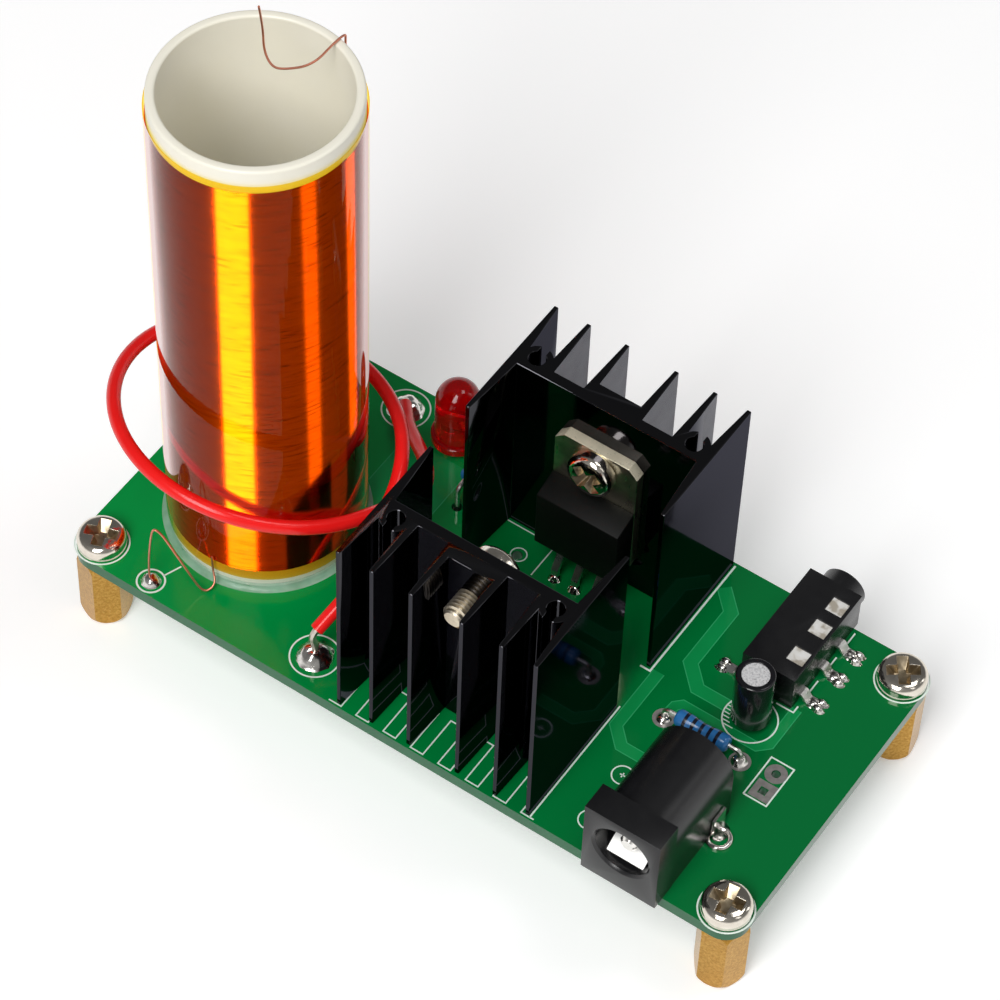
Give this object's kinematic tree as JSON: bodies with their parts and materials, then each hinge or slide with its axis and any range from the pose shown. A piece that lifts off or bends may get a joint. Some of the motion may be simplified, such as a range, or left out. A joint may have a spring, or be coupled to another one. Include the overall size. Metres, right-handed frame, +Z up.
{
  "type": "desktop resonant transformer",
  "caption": "Open circuit board on four brass legs with a tall wound coil, a looped primary wire, two finned heat sinks with transistors, a power socket and an audio socket.",
  "frame": {"origin": "centre of the four standoff feet, on the plane they stand on", "axes": "+X along the board towards the sockets, +Y towards the audio plug's side, +Z up"},
  "size_m": [0.0869, 0.044, 0.0881],
  "materials": {
    "board": "gloss",
    "brass": "satin",
    "nickel": "polished",
    "former": "satin",
    "copper_winding": "gloss",
    "amber_tape": "gloss",
    "bare_copper": "gloss",
    "red_insulation": "gloss",
    "tinned_copper": "satin",
    "black_anodised": "gloss",
    "tinned_steel": "satin",
    "black_epoxy": "matte",
    "black_plastic": "satin",
    "red_lens": "gloss",
    "black_rubber": "matte",
    "aluminium": "brushed",
    "black_sleeve": "gloss",
    "blue_lacquer": "gloss",
    "solder": "gloss"
  },
  "bodies": {
    "root": {"circuit_board": "board", "hex_standoffs": "brass", "board_screws": "nickel", "coil_former": "former", "secondary_winding": "copper_winding", "winding_tape": "amber_tape", "breakout_wire": "bare_copper", "ground_lead": "bare_copper", "primary_wire": "red_insulation", "primary_core_ends": "tinned_copper", "heat_sink_front": "black_anodised", "heat_sink_back": "black_anodised", "heat_sink_pins": "tinned_steel", "transistor_case_front": "black_epoxy", "transistor_case_back": "black_epoxy", "transistor_tab_front": "tinned_steel", "transistor_tab_back": "tinned_steel", "transistor_legs_front": "tinned_steel", "transistor_legs_back": "tinned_steel", "transistor_screws": "nickel", "power_socket_pin": "nickel", "power_socket_contacts": "nickel", "power_socket_housing": "black_plastic", "audio_socket_housing": "black_plastic", "audio_socket_contacts": "nickel", "audio_socket_legs": "tinned_steel", "lamp_lens": "red_lens", "lamp_leads": "tinned_steel", "capacitor_bung": "black_rubber", "capacitor_can": "aluminium", "capacitor_jacket": "black_sleeve", "capacitor_wires": "tinned_steel", "front_resistor": "blue_lacquer", "front_resistor_wires": "tinned_steel", "rear_resistor": "blue_lacquer", "rear_resistor_wires": "tinned_steel", "top_solder": "solder", "underside_solder": "solder"}
  },
  "joints": []
}
